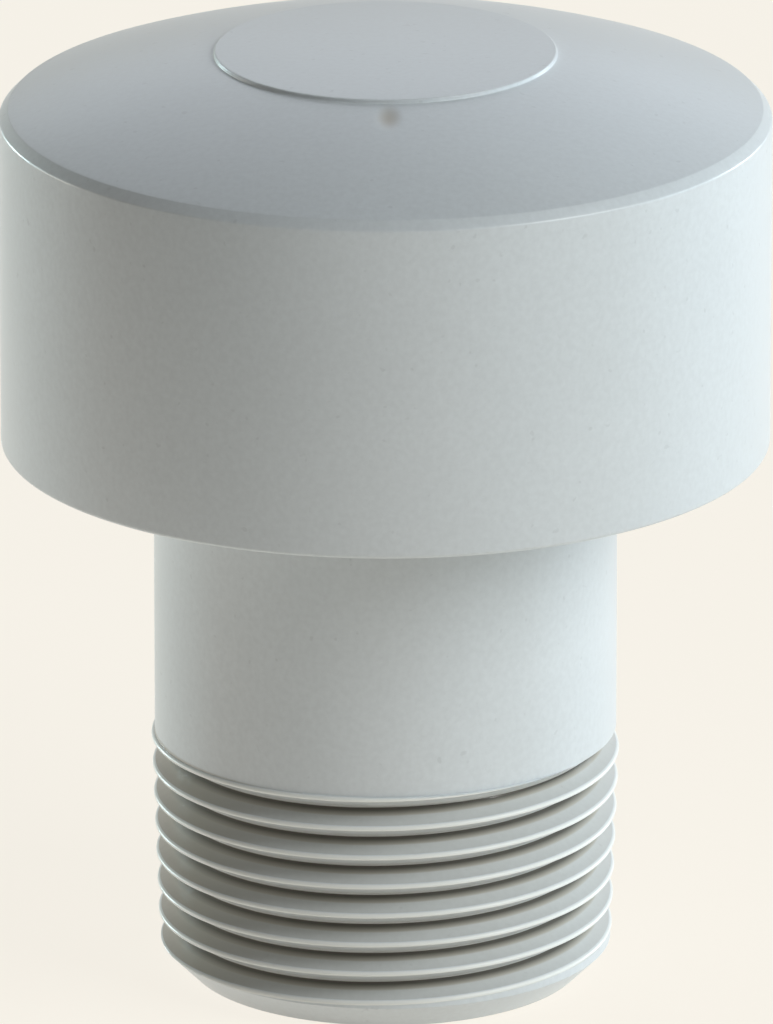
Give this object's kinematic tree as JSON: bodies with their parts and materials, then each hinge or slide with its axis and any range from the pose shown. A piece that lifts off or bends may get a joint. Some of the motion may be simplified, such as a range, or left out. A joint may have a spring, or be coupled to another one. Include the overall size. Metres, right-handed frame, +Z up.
{
  "type": "air admittance valve",
  "caption": "Air admittance valve with a domed hood on a plain neck and a male taper pipe thread; air enters upwards under the hood and lifts a ring-shaped disc off two seats.",
  "frame": {"origin": "centre of the threaded end face, where the valve stands", "axes": "+Z up along the neck's axis towards the hood, -Y to the front of the picture, +X to its right"},
  "size_m": [0.0546, 0.0546, 0.0682],
  "materials": {
    "shell_plastic": "fine-grained satin moulding",
    "screen_plastic": "satin",
    "disc_plastic": "satin",
    "seal_rubber": "matt"
  },
  "bodies": {
    "housing": {"body": "shell_plastic", "hood": "shell_plastic", "intake_screen": "screen_plastic", "hood_seal": "seal_rubber"},
    "disc": {"valve_disc": "disc_plastic", "membrane": "seal_rubber", "membrane_clip": "disc_plastic"}
  },
  "joints": [
    {"name": "disc_lift", "type": "slide", "parent": "housing", "child": "disc", "axis": [0, 0, 1], "range_m": [0, 0.005]}
  ]
}
